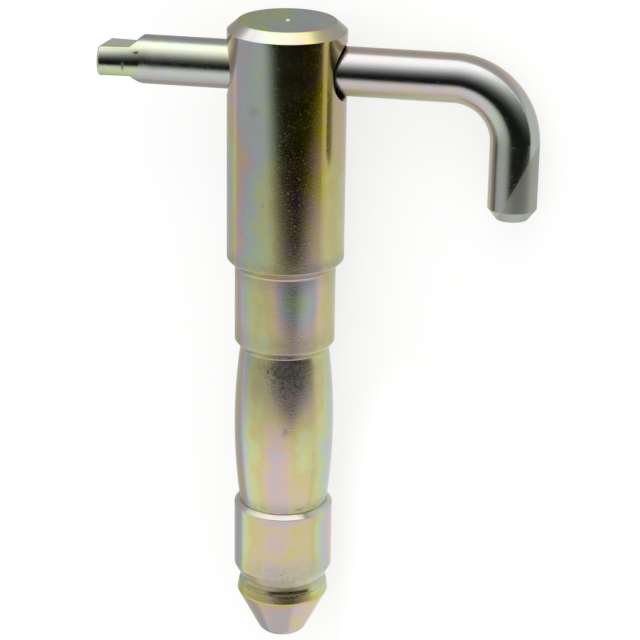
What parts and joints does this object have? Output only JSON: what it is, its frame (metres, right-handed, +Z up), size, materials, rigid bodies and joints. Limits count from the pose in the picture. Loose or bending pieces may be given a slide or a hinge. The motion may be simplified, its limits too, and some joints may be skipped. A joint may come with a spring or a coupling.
{
  "type": "support pin",
  "caption": "Turned steel support pin with a chamfered head, crowned middle, collar and conical tip, and a loose hooked bar handle through a cross hole in the head.",
  "frame": {"origin": "on the floor, at the middle of the footprint of the part as it lies at rest", "axes": "+Z up from the floor; +Y along the pin towards its head, up to the small pitch at which it lies; +X along the handle bar towards its hook, up to the small roll at which it lies"},
  "size_m": [0.107, 0.1634, 0.0304],
  "materials": {
    "pin_steel": "turned steel with a glossy yellow-green iridescent zinc passivation",
    "bar_steel": "drawn round steel bar with the same zinc passivation, silvery and faintly pink and green"
  },
  "bodies": {
    "pin": {"pin_body": "pin_steel"},
    "handle": {"handle_bar": "bar_steel"}
  },
  "joints": [
    {"name": "bar_slide", "type": "slide", "parent": "pin", "child": "handle", "axis": [0.9876, 0.0037, -0.1567], "range_m": [-0.03, 0.0225]}
  ]
}
